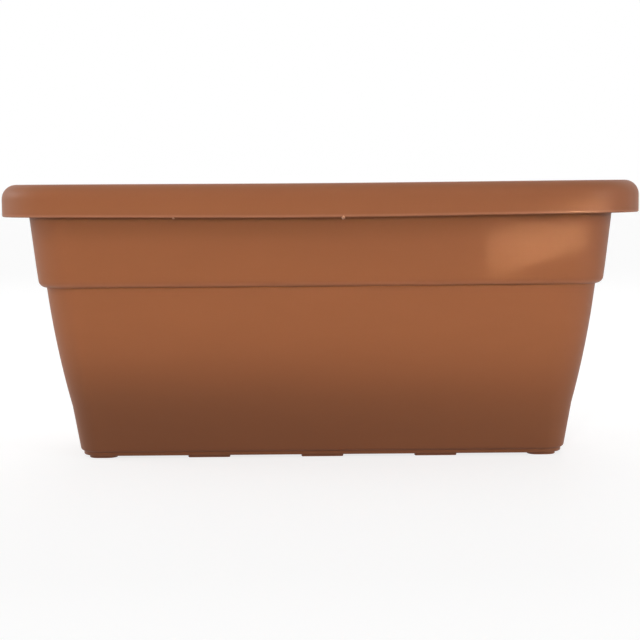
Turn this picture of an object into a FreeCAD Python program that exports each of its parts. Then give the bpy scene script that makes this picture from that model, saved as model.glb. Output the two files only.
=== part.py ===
import FreeCAD, Part
import os
import Sketcher
from math import pi

# Window box planter: a long moulded box with a rolled rim, an upper band, a
# tapering body and low feet. Inside it stand a lift-out reservoir grid and
# four drain plugs. All sizes are in millimetres. X runs along the box, Y from
# front to back, Z up, and the origin is on the ground under the middle.

SIZES = [
    ("overall_height", 176, "ground to the top of the rim"),
    ("rim_length", 400, "rim, end to end"),
    ("rim_width", 200, "rim, front to back"),
    ("rim_corner", 40, "plan radius of the rim's corners"),
    ("rim_drop", 20, "depth of the rim's hanging skirt"),
    ("rim_round", 9, "outer round along the top of the rim"),
    ("rim_overhang", 14.3, "rim face to the band, measured at the top"),
    ("lip_round", 1.4, "round along the mouth"),
    ("wall", 2.2, "thickness of the moulding"),
    ("band_drop", 64.7, "top of the rim to the bottom of the band"),
    ("band_draft", 6.2, "how far the band leans in from top to bottom"),
    ("band_step", 4.6, "setback of the body under the band"),
    ("band_round", 4.4, "round along the bottom of the band"),
    ("band_corner", 27, "plan radius of the band's corners"),
    ("body_draft", 13.4, "how far the body leans in from top to bottom"),
    ("body_bow", 0.35, "share of that lean which comes as a curve"),
    ("body_top_corner", 22, "plan radius of the body's corners at its top"),
    ("body_foot_corner", 17, "plan radius of the body's corners at its foot"),
    ("ledge_height", 33, "ground to the kink where the grid lies"),
    ("skirt_draft", 4.3, "how far the wall leans in below the kink"),
    ("skirt_corner", 15, "plan radius of the wall's corners at the bottom"),
    ("skirt_round", 2.4, "round along the bottom of the wall"),
    ("plinth_height", 2.4, "height of the plinth under the wall"),
    ("plinth_setback", 2.2, "setback of the plinth from the wall"),
    ("plinth_ring", 7, "width of the plinth's standing ring"),
    ("floor_thickness", 2.5, "thickness of the floor panel"),
    ("foot_height", 1.6, "height of the feet under the plinth"),
    ("foot_length", 27, "length of a foot along the box"),
    ("foot_width", 17, "length of a foot across the box"),
    ("foot_setback", 1.8, "feet behind the plinth's front face"),
    ("end_foot_length", 18.2, "length of an outer foot along the box"),
    ("end_foot_setback", 4.3, "outer feet inside the plinth's end face"),
    ("foot_corner", 1.5, "plan radius of a foot's corners"),
    ("end_foot_corner", 6, "plan radius of the outer feet's corners"),
    ("drain_radius", 6, "radius of a drain plug's stem"),
    ("drain_clearance", 0.05, "radial clearance of the stem in its hole"),
    ("plug_flange_radius", 10, "radius of the plug's flange"),
    ("plug_flange_thickness", 1.8, "thickness of the plug's flange"),
    ("plug_reach", 1.6, "stem below the underside of the floor"),
    ("plug_chamfer", 0.8, "lead-in at the tip of the stem"),
    ("tab_length", 11, "length of the plug's pull tab"),
    ("tab_thickness", 2.6, "thickness of the pull tab"),
    ("tab_height", 4, "height of the pull tab over the flange"),
    ("tab_round", 1.1, "round along the top of the tab"),
    ("grid_clearance", 1, "gap between the grid and the wall"),
    ("grid_thickness", 2, "thickness of the grid's plate"),
    ("grid_lip_setback", 4, "grid's lip behind the edge of its plate"),
    ("grid_lip_height", 5, "depth of the lip under the plate"),
    ("grid_lip_thickness", 1.8, "thickness of the lip"),
    ("well_radius", 21, "radius of a wicking well at its mouth"),
    ("well_taper", 4, "how far a well narrows towards its foot"),
    ("cup_wall", 1.8, "wall of the wells and legs"),
    ("leg_radius", 7.5, "radius of a grid leg at its mouth"),
    ("leg_taper", 1.5, "how far a leg narrows towards its foot"),
    ("leg_margin", 15, "middle of a leg inside the plate's edges"),
    ("window_width", 3.5, "width of the windows in a well's wall"),
    ("window_height", 14, "height of the windows in a well's wall"),
    ("slot_width", 5, "width of a slot in the grid"),
    ("slot_pitch", 12, "spacing of the slots"),
    ("slot_corner", 2, "plan radius of a slot's corners"),
    ("side_slot_length", 20, "length of the slots in the two outer rows"),
    ("middle_slot_length", 34, "length of the slots in the middle row"),
    ("slot_margin", 9, "least distance from a slot to a cup or the lip"),
]

doc = FreeCAD.newDocument("window_box_planter")
sheet = doc.addObject("Spreadsheet::Sheet", "Sizes")
for row, (alias, value, words) in enumerate(SIZES, start=1):
    sheet.set(f"A{row}", alias)
    sheet.set(f"B{row}", str(value))
    sheet.set(f"C{row}", words)
    sheet.setAlias(f"B{row}", alias)
doc.recompute()


# ---------------------------------------------------------------- heights and
# setbacks that several pieces share, written from the sheet's own values

FLOOR_UNDERSIDE = "(Sizes.foot_height + Sizes.plinth_height)"
FLOOR_TOP = f"({FLOOR_UNDERSIDE} + Sizes.floor_thickness)"
BAND_BOTTOM = "(Sizes.overall_height - Sizes.band_drop)"
RIM_BOTTOM = "(Sizes.overall_height - Sizes.rim_drop)"
BAND_FOOT_INSET = "(Sizes.rim_overhang + Sizes.band_draft)"
BODY_TOP_INSET = f"({BAND_FOOT_INSET} + Sizes.band_step)"
LEDGE_INSET = f"({BODY_TOP_INSET} + Sizes.body_draft)"
SKIRT_FOOT_INSET = f"({LEDGE_INSET} + Sizes.skirt_draft)"
PLINTH_INSET = f"({SKIRT_FOOT_INSET} + Sizes.plinth_setback)"
GRID_INSET = f"({LEDGE_INSET} + Sizes.wall + Sizes.grid_clearance)"
LIP_INSET = f"({GRID_INSET} + Sizes.grid_lip_setback)"

# The feet stand in a row with equal gaps: three whole ones about the middle and
# a shorter one at each end. Each of the four bays between them has one drain.
MIDDLE_FEET = 3
DRAIN_COUNT = MIDDLE_FEET + 1
END_FOOT_OUTER = f"(Sizes.rim_length / 2 - {PLINTH_INSET} - Sizes.end_foot_setback)"
END_FOOT_INNER = f"({END_FOOT_OUTER} - Sizes.end_foot_length)"
FOOT_PITCH = f"(({END_FOOT_INNER} + Sizes.foot_length / 2) / {DRAIN_COUNT / 2})"


def number(expression):
    """The present value of an expression in the sheet's terms."""
    return float(sheet.evalExpression(expression))


def length_at(inset):
    return f"Sizes.rim_length - 2 * ({inset})"


def width_at(inset):
    return f"Sizes.rim_width - 2 * ({inset})"


# ---------------------------------------------------------------- drawing aids

def new_body(label):
    body = doc.addObject("PartDesign::Body", label)
    body.Label = label
    return body


def origin_feature(body, role):
    return next(item for item in body.Origin.OriginFeatures if item.Role == role)


def attach(feature, body, offset, role="XY_Plane"):
    """Fix a sketch or a primitive to one of the body's own origin planes."""
    feature.AttachmentSupport = [(origin_feature(body, role), "")]
    feature.MapMode = "FlatFace"
    for axis, expression in zip("xyz", offset):
        if expression != "0":
            feature.setExpression(f"AttachmentOffset.Base.{axis}", expression)


def rounded_rectangle(body, name, height, length, width, corner, centre=("0", "0")):
    """A level rounded rectangle whose three sizes follow the sheet."""
    sketch = body.newObject("Sketcher::SketchObject", name)
    attach(sketch, body, (centre[0], centre[1], height))
    radius = number(corner)
    far_x = number(length) / 2
    far_y = number(width) / 2
    near_x = far_x - radius
    near_y = far_y - radius
    sides = [
        ((-near_x, -far_y), (near_x, -far_y)),
        ((far_x, -near_y), (far_x, near_y)),
        ((near_x, far_y), (-near_x, far_y)),
        ((-far_x, near_y), (-far_x, -near_y)),
    ]
    for start, end in sides:
        line = Part.LineSegment(FreeCAD.Vector(*start, 0), FreeCAD.Vector(*end, 0))
        sketch.addGeometry(line, False)
    centres = [(near_x, -near_y), (near_x, near_y), (-near_x, near_y), (-near_x, -near_y)]
    for quarter, middle in enumerate(centres):
        circle = Part.Circle(FreeCAD.Vector(*middle, 0), FreeCAD.Vector(0, 0, 1), radius)
        first = (quarter - 1) * pi / 2
        sketch.addGeometry(Part.ArcOfCircle(circle, first, first + pi / 2), False)
    for index in range(4):
        sketch.addConstraint(Sketcher.Constraint("Tangent", index, 2, 4 + index, 1))
        sketch.addConstraint(Sketcher.Constraint("Tangent", 4 + index, 2, (index + 1) % 4, 1))
        direction = "Horizontal" if index % 2 == 0 else "Vertical"
        sketch.addConstraint(Sketcher.Constraint(direction, index))
    for index in (5, 6, 7):
        sketch.addConstraint(Sketcher.Constraint("Equal", 4, index))
    sketch.addConstraint(Sketcher.Constraint("Symmetric", 4, 3, 6, 3, -1, 1))
    driven = [
        ("Length", length, Sketcher.Constraint("DistanceX", 3, 1, 1, 1, 2 * far_x)),
        ("Width", width, Sketcher.Constraint("DistanceY", 0, 1, 2, 1, 2 * far_y)),
        ("Corner", corner, Sketcher.Constraint("Radius", 4, radius)),
    ]
    for label, expression, constraint in driven:
        index = sketch.addConstraint(constraint)
        sketch.renameConstraint(index, label)
        sketch.setExpression(f"Constraints.{label}", expression)
    return sketch


def inset_outline(body, name, height, inset, corner):
    """The box's outline at one height, set in from the rim all round."""
    return rounded_rectangle(body, name, height, length_at(inset), width_at(inset), corner)


def pad(body, name, sketch, height, upward=True):
    feature = body.newObject("PartDesign::Pad", name)
    feature.Profile = sketch
    feature.setExpression("Length", height)
    feature.Reversed = not upward
    return feature


def pocket(body, name, sketch, depth, upward):
    feature = body.newObject("PartDesign::Pocket", name)
    feature.Profile = sketch
    feature.setExpression("Length", depth)
    feature.Reversed = upward
    return feature


def loft(body, kind, name, sections, ruled=True):
    feature = body.newObject(f"PartDesign::{kind}", name)
    feature.Profile = sections[0]
    feature.Sections = sections[1:]
    feature.Ruled = ruled
    return feature


LEVEL_TOLERANCE = 0.01
REACH_TOLERANCE = 0.05


def edge_run(body, height, reach_x):
    """The closed run of level edges at a height whose far side reaches a given X."""
    doc.recompute()
    base = body.Tip
    level = number(height)
    reach = number(reach_x)
    edges = []
    for index, edge in enumerate(base.Shape.Edges, start=1):
        box = edge.BoundBox
        if max(abs(box.ZMin - level), abs(box.ZMax - level)) < LEVEL_TOLERANCE:
            edges.append((index, edge))
    runs = Part.sortEdges([edge for _, edge in edges])
    run = next(wire for wire in runs
               if abs(Part.Wire(wire).BoundBox.XMax - reach) < REACH_TOLERANCE)
    chosen = [f"Edge{index}" for index, edge in edges
              if any(edge.isSame(member) for member in run)]
    return base, chosen


def round_edges(body, name, height, radius, reach_x):
    base_and_edges = edge_run(body, height, reach_x)
    feature = body.newObject("PartDesign::Fillet", name)
    feature.Base = base_and_edges
    feature.setExpression("Radius", radius)
    return feature


def chamfer_edges(body, name, height, width, reach_x):
    base_and_edges = edge_run(body, height, reach_x)
    feature = body.newObject("PartDesign::Chamfer", name)
    feature.Base = base_and_edges
    feature.setExpression("Size", width)
    return feature


def primitive(body, kind, name, offset, **lengths):
    """A cylinder, cone or box added to or cut from a body, sized by expressions."""
    feature = body.newObject(f"PartDesign::{kind}", name)
    attach(feature, body, offset)
    for key, expression in lengths.items():
        feature.setExpression(key, expression)
    return feature


def repeat(body, name, feature, planes=(), count=1, span="0"):
    """Repeat one feature along X and mirror it in the body's own planes."""
    steps = []
    group = body.newObject("PartDesign::MultiTransform", name)
    group.Originals = [feature]
    if count > 1:
        row = body.newObject("PartDesign::LinearPattern", f"{name}_row")
        row.Direction = (origin_feature(body, "X_Axis"), [""])
        row.Occurrences = count
        row.setExpression("Length", span)
        steps.append(row)
    for role in planes:
        mirror = body.newObject("PartDesign::Mirrored", f"{name}_{role}")
        mirror.MirrorPlane = (origin_feature(body, role), [""])
        steps.append(mirror)
    group.Transformations = steps
    body.Tip = group
    return group


# ---------------------------------------------------------------- planter box

def body_inset(fraction):
    """How far the body's wall stands in from the rim, from its top (0) to the ledge (1)."""
    straight = f"(1 - Sizes.body_bow) * {fraction}"
    curved = f"Sizes.body_bow * {fraction ** 2}"
    return f"({BODY_TOP_INSET} + Sizes.body_draft * ({straight} + {curved}))"


def body_corner(fraction):
    change = "(Sizes.body_foot_corner - Sizes.body_top_corner)"
    return f"(Sizes.body_top_corner + {fraction} * {change})"


# Where the body's outline is drawn, as shares of the way from its top to the ledge.
BODY_STATIONS = (0.0, 0.35, 0.7, 1.0)


def make_rim(body):
    """A lid-like rim with a hanging skirt, rounded outside and hollow underneath."""
    outline = inset_outline(body, "rim_outline", RIM_BOTTOM, "0", "Sizes.rim_corner")
    pad(body, "rim_block", outline, "Sizes.rim_drop")
    hollow = inset_outline(body, "rim_hollow_outline", RIM_BOTTOM, "Sizes.wall",
                           "Sizes.rim_corner - Sizes.wall")
    pocket(body, "rim_hollow", hollow, "Sizes.rim_drop - Sizes.wall", upward=True)
    round_edges(body, "rim_inner_round", "Sizes.overall_height - Sizes.wall",
                "Sizes.rim_round - Sizes.wall", "Sizes.rim_length / 2 - Sizes.wall")
    round_edges(body, "rim_outer_round", "Sizes.overall_height", "Sizes.rim_round",
                "Sizes.rim_length / 2")


def make_outer_walls(body):
    """The band, the bowed body and the steeper foot of the wall, as solid blocks."""
    band_top = inset_outline(body, "band_top", "Sizes.overall_height - Sizes.wall / 2",
                             "Sizes.rim_overhang", "Sizes.band_corner")
    band_foot = inset_outline(body, "band_foot", BAND_BOTTOM, BAND_FOOT_INSET,
                              "Sizes.band_corner - Sizes.band_draft / 2")
    loft(body, "AdditiveLoft", "band", [band_top, band_foot])
    round_edges(body, "band_bottom_round", BAND_BOTTOM, "Sizes.band_round",
                f"Sizes.rim_length / 2 - {BAND_FOOT_INSET}")
    stations = []
    for index, fraction in enumerate(BODY_STATIONS):
        height = f"{BAND_BOTTOM} - {fraction} * ({BAND_BOTTOM} - Sizes.ledge_height)"
        stations.append(inset_outline(body, f"body_outline_{index}", height,
                                      body_inset(fraction), body_corner(fraction)))
    loft(body, "AdditiveLoft", "body_block", stations, ruled=False)
    skirt_top = inset_outline(body, "skirt_top", "Sizes.ledge_height", LEDGE_INSET,
                              "Sizes.body_foot_corner")
    skirt_foot = inset_outline(body, "skirt_foot", FLOOR_UNDERSIDE, SKIRT_FOOT_INSET,
                               "Sizes.skirt_corner")
    loft(body, "AdditiveLoft", "skirt_block", [skirt_top, skirt_foot])
    round_edges(body, "skirt_bottom_round", FLOOR_UNDERSIDE, "Sizes.skirt_round",
                f"Sizes.rim_length / 2 - {SKIRT_FOOT_INSET}")


def make_cavity(body):
    """The space inside, one wall thickness behind the outside all the way up."""
    depth = f"({BAND_BOTTOM} + Sizes.wall - Sizes.ledge_height)"
    floor_share = f"(Sizes.ledge_height - {FLOOR_TOP}) / (Sizes.ledge_height - {FLOOR_UNDERSIDE})"
    floor_outline = inset_outline(
        body, "floor_outline", FLOOR_TOP,
        f"{LEDGE_INSET} + Sizes.skirt_draft * {floor_share} + Sizes.wall",
        "Sizes.skirt_corner - Sizes.wall")
    ledge_outline = inset_outline(body, "ledge_outline", "Sizes.ledge_height",
                                  f"{LEDGE_INSET} + Sizes.wall",
                                  "Sizes.body_foot_corner - Sizes.wall")
    loft(body, "SubtractiveLoft", "water_space", [floor_outline, ledge_outline])
    stations = []
    for index, fraction in enumerate(BODY_STATIONS):
        height = f"Sizes.ledge_height + {1 - fraction} * {depth}"
        stations.append(inset_outline(body, f"soil_outline_{index}", height,
                                      f"{body_inset(fraction)} + Sizes.wall",
                                      f"{body_corner(fraction)} - Sizes.wall"))
    loft(body, "SubtractiveLoft", "soil_space", stations, ruled=False)
    shoulder = inset_outline(body, "shoulder_outline", f"{BAND_BOTTOM} + Sizes.wall",
                             f"{BAND_FOOT_INSET} + Sizes.wall",
                             "Sizes.band_corner - Sizes.band_draft / 2 - Sizes.wall")
    mouth = inset_outline(body, "mouth_outline", "Sizes.overall_height",
                          "Sizes.rim_overhang + Sizes.wall", "Sizes.band_corner - Sizes.wall")
    loft(body, "SubtractiveLoft", "band_space", [shoulder, mouth])
    round_edges(body, "mouth_round", "Sizes.overall_height", "Sizes.lip_round",
                "Sizes.rim_length / 2 - Sizes.rim_overhang - Sizes.wall")


def first_in_row(count, pitch=FOOT_PITCH):
    """X of the first of several things spaced evenly about the middle of the box."""
    return f"-{(count - 1) / 2} * {pitch}"


def make_base(body):
    """The plinth under the wall, hollowed to a ring, with the feet standing on it."""
    plinth = inset_outline(body, "plinth_outline", "Sizes.foot_height", PLINTH_INSET,
                           "Sizes.skirt_corner - Sizes.plinth_setback")
    pad(body, "plinth", plinth, "Sizes.plinth_height")
    recess = inset_outline(body, "recess_outline", "Sizes.foot_height",
                           f"{PLINTH_INSET} + Sizes.plinth_ring",
                           "Sizes.skirt_corner - Sizes.plinth_setback - Sizes.plinth_ring / 2")
    pocket(body, "underside_recess", recess, "Sizes.plinth_height", upward=True)
    row = (f"-(Sizes.rim_width / 2 - {PLINTH_INSET} - Sizes.foot_setback"
           " - Sizes.foot_width / 2)")
    outline = rounded_rectangle(body, "foot_outline", "0", "Sizes.foot_length",
                                "Sizes.foot_width", "Sizes.foot_corner",
                                centre=(first_in_row(MIDDLE_FEET), row))
    foot = pad(body, "foot", outline, FLOOR_UNDERSIDE)
    repeat(body, "feet", foot, planes=["XZ_Plane"], count=MIDDLE_FEET,
           span=f"{MIDDLE_FEET - 1} * {FOOT_PITCH}")
    outline = rounded_rectangle(body, "end_foot_outline", "0", "Sizes.end_foot_length",
                                "Sizes.foot_width", "Sizes.end_foot_corner",
                                centre=(f"({END_FOOT_INNER} + {END_FOOT_OUTER}) / 2", row))
    end_foot = pad(body, "end_foot", outline, FLOOR_UNDERSIDE)
    repeat(body, "end_feet", end_foot, planes=["XZ_Plane", "YZ_Plane"])


def make_drain_holes(body):
    """One round hole in each bay between two feet."""
    hole = primitive(body, "SubtractiveCylinder", "drain_hole",
                     (first_in_row(DRAIN_COUNT), "0", "Sizes.foot_height"),
                     Radius="Sizes.drain_radius + Sizes.drain_clearance",
                     Height=f"{FLOOR_TOP} - Sizes.foot_height + Sizes.wall")
    repeat(body, "drain_holes", hole, count=DRAIN_COUNT,
           span=f"{DRAIN_COUNT - 1} * {FOOT_PITCH}")


def make_planter_box():
    body = new_body("planter_box")
    make_rim(body)
    make_outer_walls(body)
    make_base(body)
    make_cavity(body)
    make_drain_holes(body)
    return body


# ---------------------------------------------------------------- reservoir grid

def make_cup(body, name, centre, radius, taper, planes):
    """A tapered hollow foot, open at the plate and closed where it stands."""
    height = f"(Sizes.ledge_height + Sizes.grid_thickness - {FLOOR_TOP})"
    outer = primitive(body, "AdditiveCone", name, (*centre, FLOOR_TOP),
                      Radius1=f"{radius} - {taper}", Radius2=radius, Height=height)
    repeat(body, f"{name}s", outer, planes=planes)
    inner = primitive(body, "SubtractiveCone", f"{name}_hollow",
                      (*centre, f"{FLOOR_TOP} + Sizes.cup_wall"),
                      Radius1=f"{radius} - {taper} - Sizes.cup_wall",
                      Radius2=f"{radius} - Sizes.cup_wall",
                      Height=f"{height} - Sizes.cup_wall")
    repeat(body, f"{name}_hollows", inner, planes=planes)


def make_well_windows(body):
    """Two level cuts across each well, so that water reaches the soil in it."""
    across = "2 * Sizes.well_radius"
    base = f"{FLOOR_TOP} + Sizes.cup_wall"
    for name, span_x, span_y in (("window_x", across, "Sizes.window_width"),
                                 ("window_y", "Sizes.window_width", across)):
        corner = (f"{FOOT_PITCH} - ({span_x}) / 2", f"-({span_y}) / 2", base)
        window = primitive(body, "SubtractiveBox", name, corner,
                           Length=span_x, Width=span_y, Height="Sizes.window_height")
        repeat(body, f"{name}_pair", window, planes=["YZ_Plane"])


def make_slot_row(body, name, start_x, end_x, centre_y, length, planes):
    """Slots across the plate, as many as fit midway between two places along it."""
    gaps = int(number(f"({end_x} - ({start_x})) / Sizes.slot_pitch"))
    middle = f"({start_x} + {end_x}) / 2"
    outline = rounded_rectangle(body, f"{name}_outline", "Sizes.ledge_height",
                                "Sizes.slot_width", length, "Sizes.slot_corner",
                                centre=(f"{middle} - {gaps / 2} * Sizes.slot_pitch", centre_y))
    slot = pocket(body, name, outline, "Sizes.grid_thickness", upward=True)
    repeat(body, f"{name}s", slot, planes=planes, count=gaps + 1,
           span=f"{gaps} * Sizes.slot_pitch")


def make_reservoir_grid():
    """A slotted false floor with a stiffening lip, two wells and four legs."""
    body = new_body("reservoir_grid")
    corner = "Sizes.body_foot_corner - Sizes.wall - Sizes.grid_clearance"
    outline = inset_outline(body, "plate_outline", "Sizes.ledge_height", GRID_INSET, corner)
    pad(body, "plate", outline, "Sizes.grid_thickness")
    lip_corner = f"{corner} - Sizes.grid_lip_setback / 2"
    lip_foot = "Sizes.ledge_height - Sizes.grid_lip_height"
    outline = inset_outline(body, "lip_outline", lip_foot, LIP_INSET, lip_corner)
    pad(body, "lip", outline, "Sizes.grid_lip_height")
    outline = inset_outline(body, "lip_hollow_outline", lip_foot,
                            f"{LIP_INSET} + Sizes.grid_lip_thickness",
                            f"{lip_corner} - Sizes.grid_lip_thickness")
    pocket(body, "lip_hollow", outline, "Sizes.grid_lip_height", upward=True)
    leg_x = f"Sizes.rim_length / 2 - {GRID_INSET} - Sizes.leg_margin"
    leg_y = f"Sizes.rim_width / 2 - {GRID_INSET} - Sizes.leg_margin"
    make_cup(body, "leg", (leg_x, leg_y), "Sizes.leg_radius", "Sizes.leg_taper",
             ["XZ_Plane", "YZ_Plane"])
    make_cup(body, "well", (FOOT_PITCH, "0"), "Sizes.well_radius",
             "Sizes.well_taper", ["YZ_Plane"])
    make_well_windows(body)
    side_y = "(Sizes.middle_slot_length + Sizes.side_slot_length) / 2 + Sizes.slot_margin"
    side_end = f"({leg_x} - Sizes.leg_radius - Sizes.slot_margin)"
    make_slot_row(body, "side_slot", f"-{side_end}", side_end, side_y,
                  "Sizes.side_slot_length", ["XZ_Plane"])
    well_clear = "(Sizes.well_radius + Sizes.slot_margin / 2)"
    make_slot_row(body, "middle_slot", f"-({FOOT_PITCH} - {well_clear})",
                  f"({FOOT_PITCH} - {well_clear})", "0", "Sizes.middle_slot_length", [])
    make_slot_row(body, "end_slot", f"({FOOT_PITCH} + {well_clear})",
                  f"(Sizes.rim_length / 2 - {LIP_INSET} - Sizes.slot_margin)", "0",
                  "Sizes.middle_slot_length", ["YZ_Plane"])
    return body


# ---------------------------------------------------------------- drain plugs

def make_drain_plug(index):
    """A round stem in the floor under a flange with a pull tab."""
    body = new_body(f"drain_plug_{index + 1}")
    reach = "(Sizes.floor_thickness + Sizes.plug_reach)"
    primitive(body, "AdditiveCylinder", "stem", ("0", "0", f"-{reach}"),
              Radius="Sizes.drain_radius", Height=reach)
    chamfer_edges(body, "stem_lead_in", f"-{reach}", "Sizes.plug_chamfer",
                  "Sizes.drain_radius")
    primitive(body, "AdditiveCylinder", "flange", ("0", "0", "0"),
              Radius="Sizes.plug_flange_radius", Height="Sizes.plug_flange_thickness")
    primitive(body, "AdditiveBox", "pull_tab",
              ("-Sizes.tab_length / 2", "-Sizes.tab_thickness / 2", "0"),
              Length="Sizes.tab_length", Width="Sizes.tab_thickness",
              Height="Sizes.plug_flange_thickness + Sizes.tab_height")
    round_edges(body, "tab_top_round", "Sizes.plug_flange_thickness + Sizes.tab_height",
                "Sizes.tab_round", "Sizes.tab_length / 2")
    body.setExpression("Placement.Base.x",
                       f"{first_in_row(DRAIN_COUNT)} + {index} * {FOOT_PITCH}")
    body.setExpression("Placement.Base.z", FLOOR_TOP)
    return body


# ---------------------------------------------------------------- the assembly

def check(sub_parts):
    """Stop before anything is written if a feature failed or a shape is unsound."""
    failed = [item.Name for item in doc.Objects
              if "Invalid" in item.State or "Error" in item.State]
    if failed:
        raise RuntimeError(f"features that failed: {failed}")
    for sub_part in sub_parts:
        shape = sub_part.Shape
        if shape.isNull() or not shape.isValid() or len(shape.Solids) != 1:
            raise RuntimeError(f"{sub_part.Label} isn't one sound solid")
        print(f"{sub_part.Label}: {shape.Volume / 1000:.1f} cm3")


sub_parts = [make_planter_box(), make_reservoir_grid()]
sub_parts += [make_drain_plug(index) for index in range(DRAIN_COUNT)]
doc.recompute()
check(sub_parts)
os.makedirs("parts", exist_ok=True)
for sub_part in sub_parts:
    sub_part.Shape.exportStep(f"parts/{sub_part.Label}.step")
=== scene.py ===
import math

import bmesh
import bpy
from mathutils import Euler, Matrix, Vector


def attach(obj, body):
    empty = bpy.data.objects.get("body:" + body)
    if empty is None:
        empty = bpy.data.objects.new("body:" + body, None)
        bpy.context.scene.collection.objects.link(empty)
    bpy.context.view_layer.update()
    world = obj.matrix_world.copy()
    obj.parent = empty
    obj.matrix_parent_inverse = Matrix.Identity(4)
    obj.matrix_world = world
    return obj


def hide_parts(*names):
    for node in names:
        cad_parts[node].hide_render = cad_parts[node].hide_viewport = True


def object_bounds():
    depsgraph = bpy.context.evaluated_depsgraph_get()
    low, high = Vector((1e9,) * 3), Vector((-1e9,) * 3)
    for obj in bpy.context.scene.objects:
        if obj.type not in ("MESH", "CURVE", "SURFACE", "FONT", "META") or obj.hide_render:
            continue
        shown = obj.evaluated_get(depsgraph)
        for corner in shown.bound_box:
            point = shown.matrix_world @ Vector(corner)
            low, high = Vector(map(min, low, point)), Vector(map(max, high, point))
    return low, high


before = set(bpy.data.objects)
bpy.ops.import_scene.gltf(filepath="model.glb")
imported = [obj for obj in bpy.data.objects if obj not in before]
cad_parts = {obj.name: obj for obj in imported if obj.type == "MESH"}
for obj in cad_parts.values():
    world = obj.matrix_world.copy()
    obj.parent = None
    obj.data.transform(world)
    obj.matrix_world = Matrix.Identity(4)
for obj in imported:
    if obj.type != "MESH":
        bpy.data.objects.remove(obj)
cad_low, cad_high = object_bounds()

# ---------------------------------------------------------------- planter box
# One injection moulding in terracotta-coloured polypropylene: rolled rim, band,
# bowed body, plinth, floor and feet. It is about 2 mm thick all over, and it
# leans a little in and out along its sides, as thin mouldings do.

BOX_LENGTH = cad_high.x - cad_low.x
BOX_WIDTH = cad_high.y - cad_low.y
BOX_HEIGHT = cad_high.z
WALL = 0.0022
RIM_CORNER = 0.040
RIM_DROP = 0.020
RIM_ROUND = 0.009
RIM_EDGE_ROUND = 0.0009
OVERHANG = 0.0143
LIP_ROUND = 0.0014
BAND_DROP = 0.0647
BAND_DRAFT = 0.0062
BAND_STEP = 0.0046
BAND_ROUND = 0.0044
BAND_CORNER = 0.027
BODY_DRAFT = 0.0134
BODY_BOW = 0.35
BODY_TOP_CORNER = 0.022
BODY_FOOT_CORNER = 0.017
LEDGE = 0.033
SKIRT_DRAFT = 0.0043
SKIRT_CORNER = 0.015
SKIRT_ROUND = 0.0024
PLINTH_HEIGHT = 0.0024
PLINTH_SETBACK = 0.0022
PLINTH_RING = 0.007
PLINTH_ROUND = 0.0007
FLOOR_THICKNESS = 0.0025
FOOT_HEIGHT = 0.0016
MIDDLE_FEET = 3
FOOT_LENGTH = 0.027
FOOT_WIDTH = 0.017
FOOT_SETBACK = 0.0018
FOOT_CORNER = 0.0015
END_FOOT_LENGTH = 0.0182
END_FOOT_SETBACK = 0.0043
END_FOOT_CORNER = 0.006
FOOT_ROUND = 0.0004
DRAIN_RADIUS = 0.006

# how far the thin moulding sags and waves, and the painted highlight lines along the rim's and the
# band's lower edges
RIM_SAG = 0.0005
RIM_EDGE_SAG = 0.0008
WAVE = 0.00015
RIPPLES = ((31, 9, 0), (17, -23, 1.3))
LONG_WALL_REACH = 0.02
RIM_HIGHLIGHT_LINE = 0.0011
BAND_HIGHLIGHT_LINE = 0.0014

# how finely the shape is divided
CORNER_STEPS = 18
LONG_STEPS = 44
SHORT_STEPS = 20
BODY_WALL_STEPS = 16
BAND_WALL_STEPS = 8
FOOT_WALL_STEPS = 6
RIM_FACE_STEPS = 4
ROUND_STEPS = 6
RIM_ROUND_STEPS = 10
LIP_ROUND_STEPS = 5
SMALL_ROUND_STEPS = 3
PAD_CORNER_STEPS = 6
DRAIN_SEGMENTS = 48
SHARP_FROM = math.radians(32)

band_bottom = BOX_HEIGHT - BAND_DROP
rim_bottom = BOX_HEIGHT - RIM_DROP
floor_underside = FOOT_HEIGHT + PLINTH_HEIGHT
floor_top = floor_underside + FLOOR_THICKNESS
band_foot_inset = OVERHANG + BAND_DRAFT
body_top_inset = band_foot_inset + BAND_STEP
ledge_inset = body_top_inset + BODY_DRAFT
skirt_foot_inset = ledge_inset + SKIRT_DRAFT
plinth_inset = skirt_foot_inset + PLINTH_SETBACK
end_foot_outer = BOX_LENGTH / 2 - plinth_inset - END_FOOT_SETBACK
end_foot_inner = end_foot_outer - END_FOOT_LENGTH
foot_pitch = (end_foot_inner + FOOT_LENGTH / 2) / ((MIDDLE_FEET + 1) / 2)
foot_row = BOX_WIDTH / 2 - plinth_inset - FOOT_SETBACK - FOOT_WIDTH / 2
foot_top = floor_underside + FLOOR_THICKNESS / 3


def settle(point, inset):
    """Where a point of the moulding ends up: the long sides sag and the walls wave a little."""
    bay = math.cos(math.pi * point.x / BOX_LENGTH) ** 2
    side = min(max((abs(point.y) - BOX_WIDTH / 4) / (BOX_WIDTH / 8), 0), 1)
    if inset < OVERHANG:
        hang = RIM_SAG + RIM_EDGE_SAG * (BOX_HEIGHT - point.z) / RIM_DROP
    else:
        hang = RIM_SAG * max(0, (point.z - band_bottom) / BAND_DROP) ** 2
    along = point.x if abs(point.y) > BOX_WIDTH / 2 - inset - LONG_WALL_REACH else point.y
    ripple = sum(math.sin(along * turns + point.z * rise + phase) for turns, rise, phase in RIPPLES)
    lean = WAVE * (1 + ripple / len(RIPPLES)) * min(1, point.z / LEDGE)
    inward = Vector((-point.x / BOX_LENGTH * 2, -point.y / BOX_WIDTH * 2, 0)).normalized()
    return point + inward * lean - Vector((0, 0, hang * bay * side))


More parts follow.
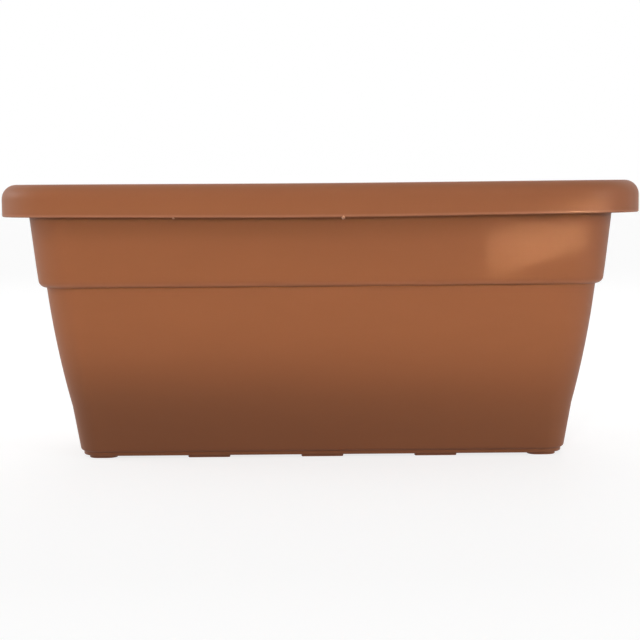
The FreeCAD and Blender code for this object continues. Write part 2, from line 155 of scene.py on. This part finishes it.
def ring(inset, height, corner):
    """Points round the box at one height, set in from the rim's face all round."""
    far_x = BOX_LENGTH / 2 - inset
    far_y = BOX_WIDTH / 2 - inset
    near_x = far_x - corner
    near_y = far_y - corner
    points = []
    quarters = [(near_x, -near_y, -90), (near_x, near_y, 0),
                (-near_x, near_y, 90), (-near_x, -near_y, 180)]
    for index, (x, y, start) in enumerate(quarters):
        for step in range(CORNER_STEPS + 1):
            turn = math.radians(start + 90 * step / CORNER_STEPS)
            points.append(Vector((x + corner * math.cos(turn), y + corner * math.sin(turn), height)))
        next_x, next_y, next_start = quarters[(index + 1) % len(quarters)]
        turn = math.radians(next_start)
        end = Vector((next_x + corner * math.cos(turn), next_y + corner * math.sin(turn), height))
        steps = SHORT_STEPS if index % 2 == 0 else LONG_STEPS
        points += [points[-1].lerp(end, step / steps) for step in range(1, steps)]
    return points


def quarter_round(inset, height, radius, first, last, corner, steps=ROUND_STEPS):
    """Rings round a convex or concave edge: its centre's inset and height, and two angles."""
    rings = []
    for step in range(steps + 1):
        turn = math.radians(first + (last - first) * step / steps)
        outward = radius * math.cos(turn)
        rings.append((inset - outward, height + radius * math.sin(turn), corner + outward))
    return rings


def body_station(share, extra=0.0):
    """Inset, height and corner of the body's wall, from its top (0) to the ledge (1)."""
    lean = BODY_DRAFT * ((1 - BODY_BOW) * share + BODY_BOW * share ** 2)
    corner = BODY_TOP_CORNER + (BODY_FOOT_CORNER - BODY_TOP_CORNER) * share
    height = band_bottom + extra * (1 - share)
    return body_top_inset + lean, height - share * (height - LEDGE), corner


def outside_rings():
    """From the plinth's recess, out and up the outside, to the top of the rim."""
    plinth_corner = SKIRT_CORNER - PLINTH_SETBACK
    recess_corner = plinth_corner - PLINTH_RING / 2
    rings = [(plinth_inset + PLINTH_RING, floor_underside, recess_corner)]
    rings += quarter_round(plinth_inset + PLINTH_RING - PLINTH_ROUND, FOOT_HEIGHT + PLINTH_ROUND,
                           PLINTH_ROUND, -180, -90, recess_corner + PLINTH_ROUND, SMALL_ROUND_STEPS)
    rings += quarter_round(plinth_inset + PLINTH_ROUND, FOOT_HEIGHT + PLINTH_ROUND,
                           PLINTH_ROUND, -90, 0, plinth_corner - PLINTH_ROUND, SMALL_ROUND_STEPS)
    rings.append((plinth_inset, floor_underside, plinth_corner))
    rings += quarter_round(skirt_foot_inset + SKIRT_ROUND, floor_underside + SKIRT_ROUND,
                           SKIRT_ROUND, -90, 0, SKIRT_CORNER - SKIRT_ROUND)
    for step in range(1, FOOT_WALL_STEPS):
        share = step / FOOT_WALL_STEPS
        rings.append((skirt_foot_inset - SKIRT_DRAFT * share,
                      floor_underside + SKIRT_ROUND * (1 - share) + (LEDGE - floor_underside) * share,
                      SKIRT_CORNER + (BODY_FOOT_CORNER - SKIRT_CORNER) * share))
    rings += [body_station(1 - step / BODY_WALL_STEPS) for step in range(BODY_WALL_STEPS + 1)]
    rings += quarter_round(band_foot_inset + BAND_ROUND, band_bottom + BAND_ROUND, BAND_ROUND,
                           -90, 0, BAND_CORNER - BAND_DRAFT / 2 - BAND_ROUND)
    band_top = BOX_HEIGHT - WALL
    for step in range(1, BAND_WALL_STEPS + 1):
        share = step / BAND_WALL_STEPS
        rings.append((band_foot_inset - BAND_DRAFT * share,
                      band_bottom + BAND_ROUND * (1 - share) + (band_top - band_bottom) * share,
                      BAND_CORNER - BAND_DRAFT / 2 * (1 - share)))
    rings += quarter_round(RIM_ROUND, BOX_HEIGHT - RIM_ROUND, RIM_ROUND - WALL, 90, 0,
                           RIM_CORNER - RIM_ROUND)
    rings += quarter_round(WALL - RIM_EDGE_ROUND, rim_bottom + RIM_EDGE_ROUND, RIM_EDGE_ROUND,
                           -180, -90, RIM_CORNER - WALL + RIM_EDGE_ROUND, SMALL_ROUND_STEPS)
    rings += quarter_round(RIM_EDGE_ROUND, rim_bottom + RIM_EDGE_ROUND, RIM_EDGE_ROUND,
                           -90, 0, RIM_CORNER - RIM_EDGE_ROUND, SMALL_ROUND_STEPS)
    rings.append((0, rim_bottom + RIM_EDGE_ROUND + RIM_HIGHLIGHT_LINE, RIM_CORNER))
    rings += [(0, rim_bottom + (RIM_DROP - RIM_ROUND) * step / RIM_FACE_STEPS, RIM_CORNER)
              for step in range(1, RIM_FACE_STEPS)]
    rings += quarter_round(RIM_ROUND, BOX_HEIGHT - RIM_ROUND, RIM_ROUND, 0, 90,
                           RIM_CORNER - RIM_ROUND, RIM_ROUND_STEPS)
    return rings


def inside_rings():
    """Over the lip, down the inside of the wall, to the floor."""
    mouth_inset = OVERHANG + WALL
    mouth_corner = BAND_CORNER - WALL
    shoulder = band_bottom + WALL
    rings = quarter_round(mouth_inset - LIP_ROUND, BOX_HEIGHT - LIP_ROUND, LIP_ROUND, 90, 180,
                          mouth_corner + LIP_ROUND, LIP_ROUND_STEPS)
    for step in range(1, BAND_WALL_STEPS + 1):
        share = step / BAND_WALL_STEPS
        rings.append((mouth_inset + BAND_DRAFT * share,
                      BOX_HEIGHT - LIP_ROUND * (1 - share) - (BOX_HEIGHT - shoulder) * share,
                      mouth_corner - BAND_DRAFT / 2 * share))
    for step in range(BODY_WALL_STEPS + 1):
        inset, height, corner = body_station(step / BODY_WALL_STEPS, extra=WALL)
        rings.append((inset + WALL, height, corner - WALL))
    for step in range(1, FOOT_WALL_STEPS + 1):
        share = step / FOOT_WALL_STEPS
        drop = (LEDGE - floor_top) * share
        lean = SKIRT_DRAFT * drop / (LEDGE - floor_underside)
        rings.append((ledge_inset + lean + WALL, LEDGE - drop,
                      BODY_FOOT_CORNER + (SKIRT_CORNER - BODY_FOOT_CORNER) * share - WALL))
    return rings


def on_painted_highlight(inset, height):
    """1 on the rim's and the band's lower edges, where a highlight is painted pale, and 0 off them."""
    if inset < WALL:
        return max(0, 1 - abs(height - rim_bottom - RIM_EDGE_ROUND) / RIM_HIGHLIGHT_LINE)
    if band_foot_inset <= inset < body_top_inset:
        return max(0, 1 - abs(height - band_bottom - BAND_HIGHLIGHT_LINE) / BAND_HIGHLIGHT_LINE)
    return 0


def skin_loops(mesh, loops):
    """Quads between each loop of corners and the next, and a face over each end."""
    for lower, upper in zip(loops, loops[1:]):
        for index in range(len(lower)):
            following = (index + 1) % len(lower)
            mesh.faces.new((lower[index], lower[following], upper[following], upper[index]))
    mesh.faces.new(list(reversed(loops[0])))
    mesh.faces.new(loops[-1])


def mould_box(mesh, outside, inside):
    """The whole skin of the box, which remembers where its outside has a painted highlight along an
    edge.
    """
    painted_edge_highlight = mesh.verts.layers.float.new("painted_edge_highlight")
    loops = []
    for index, (inset, height, corner) in enumerate(outside + inside):
        loop = [mesh.verts.new(settle(point, inset)) for point in ring(inset, height, corner)]
        for vert in loop:
            vert[painted_edge_highlight] = on_painted_highlight(inset, height) if index < len(outside) else 0
        loops.append(loop)
    skin_loops(mesh, loops)


def new_piece(name, mesh):
    """A finished mesh as an object, smooth except across its sharp edges."""
    bmesh.ops.recalc_face_normals(mesh, faces=mesh.faces)
    data = bpy.data.meshes.new(name)
    mesh.to_mesh(data)
    mesh.free()
    for polygon in data.polygons:
        polygon.use_smooth = True
    data.set_sharp_from_angle(angle=SHARP_FROM)
    piece = bpy.data.objects.new(name, data)
    bpy.context.scene.collection.objects.link(piece)
    return piece


def add_foot(mesh, x, y, length, corner):
    """An upright rounded block from the ground into the floor, rounded along its lower edge."""
    layers = []
    for step in range(SMALL_ROUND_STEPS + 1):
        turn = math.radians(90 * step / SMALL_ROUND_STEPS)
        layers.append((FOOT_ROUND * (1 - math.sin(turn)), FOOT_ROUND * (1 - math.cos(turn))))
    layers.append((0, foot_top))
    loops = []
    for inset, height in layers:
        reach = corner - inset
        loop = []
        for quarter, (along, across) in enumerate([(1, -1), (1, 1), (-1, 1), (-1, -1)]):
            centre_x = x + along * (length / 2 - corner)
            centre_y = y + across * (FOOT_WIDTH / 2 - corner)
            for step in range(PAD_CORNER_STEPS + 1):
                turn = math.radians(90 * (quarter - 1) + 90 * step / PAD_CORNER_STEPS)
                loop.append(mesh.verts.new((centre_x + reach * math.cos(turn),
                                            centre_y + reach * math.sin(turn), height)))
        loops.append(loop)
    skin_loops(mesh, loops)


def combine(piece, other, operation):
    """Join another piece's shape to this one, or cut it away."""
    modifier = piece.modifiers.new("shape", "BOOLEAN")
    modifier.operation = operation
    modifier.solver = "EXACT"
    modifier.object = other
    shaped = piece.evaluated_get(bpy.context.evaluated_depsgraph_get())
    mesh = bpy.data.meshes.new_from_object(shaped)
    piece.modifiers.clear()
    piece.data = mesh
    bpy.data.objects.remove(other)


shell_mesh = bmesh.new()
mould_box(shell_mesh, outside_rings(), inside_rings())
planter_shell = new_piece("planter_shell", shell_mesh)

feet_mesh = bmesh.new()
for side in (-1, 1):
    for index in range(MIDDLE_FEET):
        add_foot(feet_mesh, (index - (MIDDLE_FEET - 1) / 2) * foot_pitch, side * foot_row,
                 FOOT_LENGTH, FOOT_CORNER)
    for end in (-1, 1):
        add_foot(feet_mesh, end * (end_foot_inner + end_foot_outer) / 2, side * foot_row,
                 END_FOOT_LENGTH, END_FOOT_CORNER)
combine(planter_shell, new_piece("feet", feet_mesh), "UNION")

drain_mesh = bmesh.new()
for index in range(MIDDLE_FEET + 1):
    place = Matrix.Translation(((index - MIDDLE_FEET / 2) * foot_pitch, 0, floor_underside))
    bmesh.ops.create_cone(drain_mesh, cap_ends=True, segments=DRAIN_SEGMENTS, radius1=DRAIN_RADIUS,
                          radius2=DRAIN_RADIUS, depth=3 * FLOOR_THICKNESS, matrix=place)
combine(planter_shell, new_piece("drains", drain_mesh), "DIFFERENCE")
planter_shell.data.set_sharp_from_angle(angle=SHARP_FROM)
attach(planter_shell, "box")
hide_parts("planter_box")


class Maths:
    """A node's output that can stand in arithmetic, one Math node for each operator."""

    def __init__(self, finish, socket):
        self.finish = finish
        self.socket = socket

    def _math(self, operation, other):
        return self.finish.node("ShaderNodeMath", {"operation": operation}, {0: self, 1: other})

    def __add__(self, other):
        return self._math("ADD", other)

    def __mul__(self, other):
        return self._math("MULTIPLY", other)

    __radd__ = __add__
    __rmul__ = __mul__

    def clamped(self, low=0.0, high=1.0):
        return self.finish.node("ShaderNodeClamp", {}, {"Value": self, "Min": low, "Max": high})


class Finish:
    """The nodes of a material or of the world, put together one by one."""

    def __init__(self, owner, shader="Principled BSDF"):
        owner.use_nodes = True
        self.owner = owner
        self.tree = owner.node_tree
        self.shader = self.tree.nodes[shader]

    def node(self, kind, settings, inputs, output=0):
        made = self.tree.nodes.new(kind)
        for key, value in settings.items():
            setattr(made, key, value)
        for key, value in inputs.items():
            self._feed(made.inputs[key], value)
        return Maths(self, made.outputs[output])

    def _feed(self, socket, value):
        if isinstance(value, Maths):
            self.tree.links.new(value.socket, socket)
        else:
            socket.default_value = value

    def set(self, **values):
        """Feed the shader's own sockets, whose names have spaces for the underlines."""
        for key, value in values.items():
            self._feed(self.shader.inputs[key.replace("_", " ")], value)

    def noise(self, scale, detail=3.0, roughness=0.5, stretch=(1, 1, 1), distortion=0.0):
        """Cloudy values about 0.5, so many to the metre of the piece."""
        place = self.node("ShaderNodeTexCoord", {}, {}, "Object")
        mapped = self.node("ShaderNodeMapping", {}, {"Vector": place, "Scale": stretch})
        return self.node("ShaderNodeTexNoise", {}, {"Vector": mapped, "Scale": scale, "Detail": detail,
                                                    "Roughness": roughness, "Distortion": distortion})

    def steps(self, value, low, high):
        """0 below low, 1 above high, straight between."""
        return self.node("ShaderNodeMapRange", {"clamp": True},
                         {"Value": value, "From Min": low, "From Max": high})

    def blend(self, share, first, second):
        """The first colour where the share is 0, the second where it is 1."""
        return self.node("ShaderNodeMix", {"data_type": "RGBA"},
                         {0: share, 6: first, 7: second}, output=2)

    def bump(self, height, strength, distance):
        return self.node("ShaderNodeBump", {}, {"Height": height, "Strength": strength,
                                                "Distance": distance})


TERRACOTTA = (0.300, 0.098, 0.034, 1)
TERRACOTTA_DARK = (0.285, 0.092, 0.031, 1)
TERRACOTTA_WEAR_AND_HIGHLIGHT = (0.46, 0.20, 0.115, 1)
CLOUDS_PER_METRE = 9
FLOW_MARKS_PER_METRE = 26
SPECKS_PER_METRE = 160
GRAINS_PER_METRE = 900
GRAIN_DEPTH = 0.0002
RUBBED_SHARE = 0.55
EDGE_HIGHLIGHT_SHARE = 0.5
SATIN_LEVEL = 0.45

moulded = Finish(bpy.data.materials.new("terracotta_plastic"))
cloud = moulded.noise(CLOUDS_PER_METRE, detail=4, stretch=(1, 1, 2.2), distortion=0.6)
flow = moulded.noise(FLOW_MARKS_PER_METRE, detail=3, stretch=(0.35, 0.35, 1.6), distortion=1.2)
fine = moulded.noise(SPECKS_PER_METRE, detail=4)
grain = moulded.noise(GRAINS_PER_METRE, detail=2)
tone = moulded.steps(cloud * 0.6 + flow * 0.4, 0.36, 0.66)
edge = moulded.node("ShaderNodeNewGeometry", {}, {}, "Pointiness")
rubbed = moulded.steps(edge, 0.53, 0.60) * moulded.steps(fine, 0.40, 0.62)
# painted highlight: pale lines along the rim's and the band's lower edges, blended in with the rubbed
# wear on the edges
edge_highlight = moulded.node("ShaderNodeAttribute", {"attribute_name": "painted_edge_highlight"}, {}, "Fac")
wear_and_highlight = (rubbed * RUBBED_SHARE + edge_highlight * EDGE_HIGHLIGHT_SHARE).clamped()
moulded.set(Base_Color=moulded.blend(wear_and_highlight, moulded.blend(tone, TERRACOTTA_DARK, TERRACOTTA),
                                     TERRACOTTA_WEAR_AND_HIGHLIGHT),
            Roughness=(0.42 + cloud * 0.10 + fine * 0.08).clamped(0.2, 0.7),
            Normal=moulded.bump(grain * 0.6 + fine * 0.4, 0.20, GRAIN_DEPTH),
            Specular_IOR_Level=SATIN_LEVEL)
planter_shell.data.materials.append(moulded.owner)

# ---------------------------------------------------------------- gate nibs
# Two specks of plastic left on the lower edge of the rim's front skirt, where the
# moulding was cut from its runner. They are paler, because the cut stretched them.

NIBS = ((0.014, 0.0011), (-0.089, 0.0008))
NIB_TEAR = 0.18
NIB_TEAR_TURNS = (4100, 2900)
NIB_SHAPE = (1, 0.7, 1.15)
NIB_PROUD = 0.6
NIB_PALE = (0.62, 0.33, 0.21, 1)
NIB_SPECKS_PER_METRE = 1400

stretched = Finish(bpy.data.materials.new("stretched_plastic"))
speck = stretched.noise(NIB_SPECKS_PER_METRE, detail=2)
stretched.set(Base_Color=stretched.blend(speck, NIB_PALE, TERRACOTTA_WEAR_AND_HIGHLIGHT),
              Roughness=(0.45 + speck * 0.3).clamped(),
              Normal=stretched.bump(speck, 0.4, GRAIN_DEPTH))

for index, (along, size) in enumerate(NIBS):
    nib_mesh = bmesh.new()
    bmesh.ops.create_icosphere(nib_mesh, subdivisions=3, radius=size)
    for vert in nib_mesh.verts:
        x, y, z = vert.co
        torn = 1 + NIB_TEAR * math.sin(x * NIB_TEAR_TURNS[0] + z * NIB_TEAR_TURNS[1] + index)
        vert.co = Vector((x * NIB_SHAPE[0] * torn, y * NIB_SHAPE[1], z * NIB_SHAPE[2] * torn))
    edge_point = settle(Vector((along, -BOX_WIDTH / 2 + WALL / 2, rim_bottom)), 0)
    bmesh.ops.translate(nib_mesh, verts=nib_mesh.verts,
                        vec=edge_point - Vector((0, size * NIB_PROUD, 0)))
    nib = new_piece(f"gate_nib_{index + 1}", nib_mesh)
    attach(nib, "box")
    nib.data.materials.append(stretched.owner)

# ---------------------------------------------------------------- reservoir grid
# A slotted false floor in the same plastic, a shade darker from standing in damp
# soil. It is one moulding that lies loose inside the box on its own hollow feet.

GRID_BROWN = (0.20, 0.066, 0.030, 1)
GRID_DAMP = (0.12, 0.040, 0.020, 1)
GRID_SILT = (0.23, 0.15, 0.095, 1)
DAMP_PATCHES_PER_METRE = 22
SILT_FLECKS_PER_METRE = 420
SILT_SHARE = 0.5

damp = Finish(bpy.data.materials.new("grid_plastic"))
patches = damp.noise(DAMP_PATCHES_PER_METRE, detail=5, roughness=0.6, distortion=0.8)
fleck = damp.noise(SILT_FLECKS_PER_METRE, detail=3)
facing = damp.node("ShaderNodeNewGeometry", {}, {}, "Normal")
upward = damp.node("ShaderNodeSeparateXYZ", {}, {"Vector": facing}, "Z")
silt = damp.steps(patches, 0.52, 0.70) * damp.steps(upward, 0.5, 1.0) * damp.steps(fleck, 0.42, 0.62)
plastic = damp.blend(damp.steps(patches, 0.35, 0.65), GRID_DAMP, GRID_BROWN)
damp.set(Base_Color=damp.blend(silt * SILT_SHARE, plastic, GRID_SILT),
         Roughness=(0.34 + silt * 0.4 + fleck * 0.12).clamped(),
         Normal=damp.bump(fleck + silt * 0.6, 0.25, GRAIN_DEPTH))


def refinish(node, finish):
    """Give a piece that keeps its shape a material in place of the one that it came with."""
    for slot in bpy.data.objects[node].material_slots:
        slot.material = finish.owner


refinish("reservoir_grid", damp)

# ---------------------------------------------------------------- drain plugs
# Soft black rubber bungs, one pushed into each hole in the floor from inside.
# Each has a flange that seals on the floor and a tab to pull it out by.

RUBBER = (0.024, 0.023, 0.022, 1)
RUBBER_BLOOM = (0.075, 0.070, 0.064, 1)
BLOOM_PER_METRE = 260
RUBBER_GRAINS_PER_METRE = 1500
RUBBER_DEPTH = 0.00015

rubber = Finish(bpy.data.materials.new("plug_rubber"))
bloom = rubber.noise(BLOOM_PER_METRE, detail=5, roughness=0.65)
skin = rubber.noise(RUBBER_GRAINS_PER_METRE, detail=2)
rubber.set(Base_Color=rubber.blend(rubber.steps(bloom, 0.42, 0.72), RUBBER, RUBBER_BLOOM),
           Roughness=(0.62 + bloom * 0.25).clamped(),
           Normal=rubber.bump(skin * 0.7 + bloom * 0.5, 0.3, RUBBER_DEPTH))
for index in range(MIDDLE_FEET + 1):
    refinish(f"drain_plug_{index + 1}", rubber)

# ---------------------------------------------------------------- floor and light
# A plain pale floor that runs to a white horizon, with soft light from in front,
# from both sides and from behind. The floor and the sky look paler than the light
# that they throw on the object.

FLOOR_SIZE = 30.0
FLOOR_PALE = (0.26, 0.26, 0.26, 1)
FLOOR_LIGHT = (0.52, 0.50, 0.48, 1)
FLOOR_GLOW = (0.77, 0.77, 0.77, 1)
FLOOR_ROUGHNESS = 0.9
BLACK = (0, 0, 0, 1)
WHITE = (1, 1, 1, 1)
SKY_LIGHT = 0.44
ALL_ROUND = 180
COOL_WHITE = (0.55, 0.80, 1.0)


def shown(finish):
    """1 for what the camera and reflections show, 0 for what lights the object."""
    share = finish.node("ShaderNodeLightPath", {}, {}, "Is Camera Ray")
    for kind in ("Is Glossy Ray", "Is Transmission Ray"):
        share = share + finish.node("ShaderNodeLightPath", {}, {}, kind)
    return share.clamped()


floor_mesh = bmesh.new()
bmesh.ops.create_grid(floor_mesh, x_segments=2, y_segments=2, size=FLOOR_SIZE / 2)
floor = new_piece("floor", floor_mesh)

ground = Finish(bpy.data.materials.new("pale_floor"))
ground.set(Base_Color=ground.blend(shown(ground), FLOOR_LIGHT, FLOOR_PALE), Roughness=FLOOR_ROUGHNESS,
           Emission_Color=ground.blend(shown(ground), BLACK, FLOOR_GLOW), Emission_Strength=1.0)
floor.data.materials.append(ground.owner)

sky = Finish(bpy.data.worlds.new("studio"), "Background")
sky.set(Color=WHITE, Strength=shown(sky) * (1 - SKY_LIGHT) + SKY_LIGHT)
bpy.context.scene.world = sky.owner


def soft_box(name, place, aim, size, power, spread=ALL_ROUND, roll=0, gloss=False, colour=WHITE[:3]):
    """A rectangular lamp that points at a place, with its spread and its roll in degrees."""
    lamp = bpy.data.lights.new(name, "AREA")
    lamp.shape = "RECTANGLE"
    lamp.size, lamp.size_y = size
    lamp.energy = power
    lamp.color = colour
    lamp.spread = math.radians(spread)
    box = bpy.data.objects.new(name, lamp)
    box.location = place
    facing = (Vector(aim) - Vector(place)).to_track_quat("-Z", "Y").to_matrix()
    box.rotation_euler = (facing @ Matrix.Rotation(math.radians(roll), 3, "Z")).to_euler()
    box.visible_camera = False
    box.visible_glossy = gloss
    bpy.context.scene.collection.objects.link(box)


# Two wide flat beams light the front and fade towards the feet.
soft_box("low_front_light", place=(-0.20, -1.7, 0.27), aim=(0.03, -0.08, 0.119),
         size=(1.7, 0.129), power=0.303, spread=2.6)
soft_box("high_front_light", place=(-0.20, -1.5, 1.15), aim=(0.03, -0.08, 0.100),
         size=(1.7, 0.09), power=0.077, spread=2.6)
# A small cool patch lies on the band near its right end.
soft_box("patch_light", place=(0.546, -0.666, 0.345), aim=(0.134, -0.082, 0.139),
         size=(0.048, 0.027), power=0.0047, spread=1, roll=12, colour=COOL_WHITE)
# Broad lamps round the object show its ends, its gloss and its back.
soft_box("side_light", place=(1.2, -1.1, 0.5), aim=(0.05, -0.08, 0.12),
         size=(0.5, 0.5), power=4.6, gloss=True)
soft_box("left_light", place=(-1.5, 0.2, 0.7), aim=(-0.2, 0, 0.1),
         size=(0.8, 0.6), power=5.0, gloss=True)
soft_box("back_light", place=(0.2, 2.6, 1.5), aim=(0, 0.1, 0.1),
         size=(1.8, 0.9), power=4.0, spread=50)

# ---------------------------------------------------------------- camera
# Level with the top of the rim, a metre away, aimed at the middle of the box
# and turned half a degree, as the photograph is.

CAMERA_DISTANCE = 1.0
CAMERA_ASIDE = -0.0008
CAMERA_HEIGHT = 0.1751
CAMERA_PITCH = math.radians(5.239)
CAMERA_ROLL = math.radians(-0.49)
CAMERA_LENS = 83.64
SENSOR_WIDTH = 36

camera_data = bpy.data.cameras.new("camera")
camera_data.lens = CAMERA_LENS
camera_data.sensor_width = SENSOR_WIDTH
camera = bpy.data.objects.new("camera", camera_data)
bpy.context.scene.collection.objects.link(camera)
tilt = Euler((math.pi / 2 - CAMERA_PITCH, 0, 0)).to_matrix() @ Matrix.Rotation(CAMERA_ROLL, 3, "Z")
camera_place = Matrix.Translation((CAMERA_ASIDE, -CAMERA_DISTANCE, CAMERA_HEIGHT))
camera.matrix_world = camera_place @ tilt.to_4x4()
bpy.context.scene.camera = camera
bpy.context.scene.view_settings.view_transform = "Standard"
